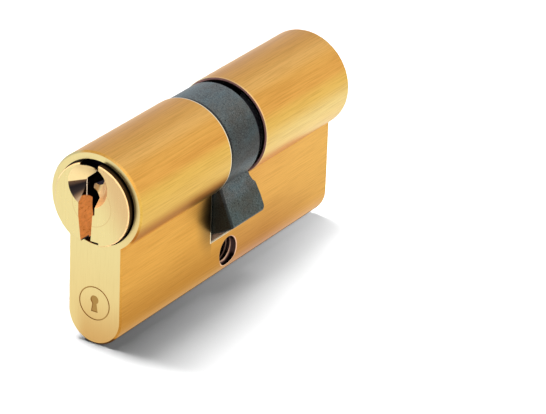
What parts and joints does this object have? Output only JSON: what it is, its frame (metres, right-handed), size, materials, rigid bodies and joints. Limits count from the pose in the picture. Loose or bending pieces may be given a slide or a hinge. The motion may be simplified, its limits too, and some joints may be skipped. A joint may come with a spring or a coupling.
{
  "type": "euro cylinder",
  "caption": "Double euro-profile lock cylinder: brass body with a round barrel and a web, a warded keyway at each end, and a steel cam with a lobe in the middle cut-out.",
  "frame": {"origin": "on the barrel's axis, in the plane of the fixing screw, which is the middle of the housing's length", "axes": "+Y along the barrel from the front half to the rear half, +Z from the web up to the barrel, +X to the right when looking at the front face"},
  "size_m": [0.0173, 0.0644, 0.033],
  "materials": {
    "body_brass": "brushed, satin",
    "plug_brass": "lapped, semi-bright",
    "pin_brass": "turned",
    "cam_steel": "sintered steel, dark phosphate, matt",
    "coupling_steel": "sintered, satin",
    "spring_steel": "drawn wire and strip"
  },
  "bodies": {
    "housing": {"housing": "body_brass", "front_chamber_plug_1": "body_brass", "front_chamber_plug_2": "body_brass", "front_chamber_plug_3": "body_brass", "front_chamber_plug_4": "body_brass", "front_chamber_plug_5": "body_brass", "rear_chamber_plug_1": "body_brass", "rear_chamber_plug_2": "body_brass", "rear_chamber_plug_3": "body_brass", "rear_chamber_plug_4": "body_brass", "rear_chamber_plug_5": "body_brass", "front_pin_spring_1": "spring_steel", "front_pin_spring_2": "spring_steel", "front_pin_spring_3": "spring_steel", "front_pin_spring_4": "spring_steel", "front_pin_spring_5": "spring_steel", "rear_pin_spring_1": "spring_steel", "rear_pin_spring_2": "spring_steel", "rear_pin_spring_3": "spring_steel", "rear_pin_spring_4": "spring_steel", "rear_pin_spring_5": "spring_steel"},
    "front_plug": {"front_plug": "plug_brass", "front_retaining_clip": "spring_steel"},
    "rear_plug": {"rear_plug": "plug_brass", "rear_retaining_clip": "spring_steel"},
    "cam": {"cam": "cam_steel"},
    "front_coupling": {"front_coupling": "coupling_steel", "coupling_spring": "spring_steel"},
    "rear_coupling": {"rear_coupling": "coupling_steel"},
    "front_key_pin_1": {"front_key_pin_1": "pin_brass"},
    "front_driver_pin_1": {"front_driver_pin_1": "pin_brass"},
    "front_key_pin_2": {"front_key_pin_2": "pin_brass"},
    "front_driver_pin_2": {"front_driver_pin_2": "pin_brass"},
    "front_key_pin_3": {"front_key_pin_3": "pin_brass"},
    "front_driver_pin_3": {"front_driver_pin_3": "pin_brass"},
    "front_key_pin_4": {"front_key_pin_4": "pin_brass"},
    "front_driver_pin_4": {"front_driver_pin_4": "pin_brass"},
    "front_key_pin_5": {"front_key_pin_5": "pin_brass"},
    "front_driver_pin_5": {"front_driver_pin_5": "pin_brass"},
    "rear_key_pin_1": {"rear_key_pin_1": "pin_brass"},
    "rear_driver_pin_1": {"rear_driver_pin_1": "pin_brass"},
    "rear_key_pin_2": {"rear_key_pin_2": "pin_brass"},
    "rear_driver_pin_2": {"rear_driver_pin_2": "pin_brass"},
    "rear_key_pin_3": {"rear_key_pin_3": "pin_brass"},
    "rear_driver_pin_3": {"rear_driver_pin_3": "pin_brass"},
    "rear_key_pin_4": {"rear_key_pin_4": "pin_brass"},
    "rear_driver_pin_4": {"rear_driver_pin_4": "pin_brass"},
    "rear_key_pin_5": {"rear_key_pin_5": "pin_brass"},
    "rear_driver_pin_5": {"rear_driver_pin_5": "pin_brass"}
  },
  "joints": [
    {"name": "front_plug_turn", "type": "hinge", "parent": "housing", "child": "front_plug", "pos_m": [0, 0, 0], "axis": [0, 1, 0], "continuous": true},
    {"name": "rear_plug_turn", "type": "hinge", "parent": "housing", "child": "rear_plug", "pos_m": [0, 0, 0], "axis": [0, 1, 0], "continuous": true},
    {"name": "cam_turn", "type": "hinge", "parent": "housing", "child": "cam", "pos_m": [0, 0, 0], "axis": [0, 1, 0], "continuous": true},
    {"name": "front_coupling_slide", "type": "slide", "parent": "front_plug", "child": "front_coupling", "axis": [0, 1, 0], "range_m": [-0.0015, 0]},
    {"name": "rear_coupling_slide", "type": "slide", "parent": "rear_plug", "child": "rear_coupling", "axis": [0, 1, 0], "range_m": [-0.0015, 0]},
    {"name": "front_key_pin_1_slide", "type": "slide", "parent": "front_plug", "child": "front_key_pin_1", "axis": [0, 0, 1], "range_m": [0, 0.0044]},
    {"name": "front_key_pin_2_slide", "type": "slide", "parent": "front_plug", "child": "front_key_pin_2", "axis": [0, 0, 1], "range_m": [0, 0.0032]},
    {"name": "front_key_pin_3_slide", "type": "slide", "parent": "front_plug", "child": "front_key_pin_3", "axis": [0, 0, 1], "range_m": [0, 0.0038]},
    {"name": "front_key_pin_4_slide", "type": "slide", "parent": "front_plug", "child": "front_key_pin_4", "axis": [0, 0, 1], "range_m": [0, 0.0026]},
    {"name": "front_key_pin_5_slide", "type": "slide", "parent": "front_plug", "child": "front_key_pin_5", "axis": [0, 0, 1], "range_m": [0, 0.0035]},
    {"name": "front_driver_pin_1_slide", "type": "slide", "parent": "housing", "child": "front_driver_pin_1", "axis": [0, 0, -1], "range_m": [0, 0.0035], "stiffness_N_per_m": 250, "springref_m": -0.004, "deforming": ["front_pin_spring_1"]},
    {"name": "front_driver_pin_2_slide", "type": "slide", "parent": "housing", "child": "front_driver_pin_2", "axis": [0, 0, -1], "range_m": [0, 0.0035], "stiffness_N_per_m": 250, "springref_m": -0.004, "deforming": ["front_pin_spring_2"]},
    {"name": "front_driver_pin_3_slide", "type": "slide", "parent": "housing", "child": "front_driver_pin_3", "axis": [0, 0, -1], "range_m": [0, 0.0035], "stiffness_N_per_m": 250, "springref_m": -0.004, "deforming": ["front_pin_spring_3"]},
    {"name": "front_driver_pin_4_slide", "type": "slide", "parent": "housing", "child": "front_driver_pin_4", "axis": [0, 0, -1], "range_m": [0, 0.0035], "stiffness_N_per_m": 250, "springref_m": -0.004, "deforming": ["front_pin_spring_4"]},
    {"name": "front_driver_pin_5_slide", "type": "slide", "parent": "housing", "child": "front_driver_pin_5", "axis": [0, 0, -1], "range_m": [0, 0.0035], "stiffness_N_per_m": 250, "springref_m": -0.004, "deforming": ["front_pin_spring_5"]},
    {"name": "rear_key_pin_1_slide", "type": "slide", "parent": "rear_plug", "child": "rear_key_pin_1", "axis": [0, 0, 1], "range_m": [0, 0.0029]},
    {"name": "rear_key_pin_2_slide", "type": "slide", "parent": "rear_plug", "child": "rear_key_pin_2", "axis": [0, 0, 1], "range_m": [0, 0.0041]},
    {"name": "rear_key_pin_3_slide", "type": "slide", "parent": "rear_plug", "child": "rear_key_pin_3", "axis": [0, 0, 1], "range_m": [0, 0.0035]},
    {"name": "rear_key_pin_4_slide", "type": "slide", "parent": "rear_plug", "child": "rear_key_pin_4", "axis": [0, 0, 1], "range_m": [0, 0.0044]},
    {"name": "rear_key_pin_5_slide", "type": "slide", "parent": "rear_plug", "child": "rear_key_pin_5", "axis": [0, 0, 1], "range_m": [0, 0.0032]},
    {"name": "rear_driver_pin_1_slide", "type": "slide", "parent": "housing", "child": "rear_driver_pin_1", "axis": [0, 0, -1], "range_m": [0, 0.0035], "stiffness_N_per_m": 250, "springref_m": -0.004, "deforming": ["rear_pin_spring_1"]},
    {"name": "rear_driver_pin_2_slide", "type": "slide", "parent": "housing", "child": "rear_driver_pin_2", "axis": [0, 0, -1], "range_m": [0, 0.0035], "stiffness_N_per_m": 250, "springref_m": -0.004, "deforming": ["rear_pin_spring_2"]},
    {"name": "rear_driver_pin_3_slide", "type": "slide", "parent": "housing", "child": "rear_driver_pin_3", "axis": [0, 0, -1], "range_m": [0, 0.0035], "stiffness_N_per_m": 250, "springref_m": -0.004, "deforming": ["rear_pin_spring_3"]},
    {"name": "rear_driver_pin_4_slide", "type": "slide", "parent": "housing", "child": "rear_driver_pin_4", "axis": [0, 0, -1], "range_m": [0, 0.0035], "stiffness_N_per_m": 250, "springref_m": -0.004, "deforming": ["rear_pin_spring_4"]},
    {"name": "rear_driver_pin_5_slide", "type": "slide", "parent": "housing", "child": "rear_driver_pin_5", "axis": [0, 0, -1], "range_m": [0, 0.0035], "stiffness_N_per_m": 250, "springref_m": -0.004, "deforming": ["rear_pin_spring_5"]}
  ],
  "couplings": [
    {"joint": "cam_turn", "follows": "front_plug_turn", "ratio": 1},
    {"joint": "rear_coupling_slide", "follows": "front_coupling_slide", "ratio": 1}
  ]
}
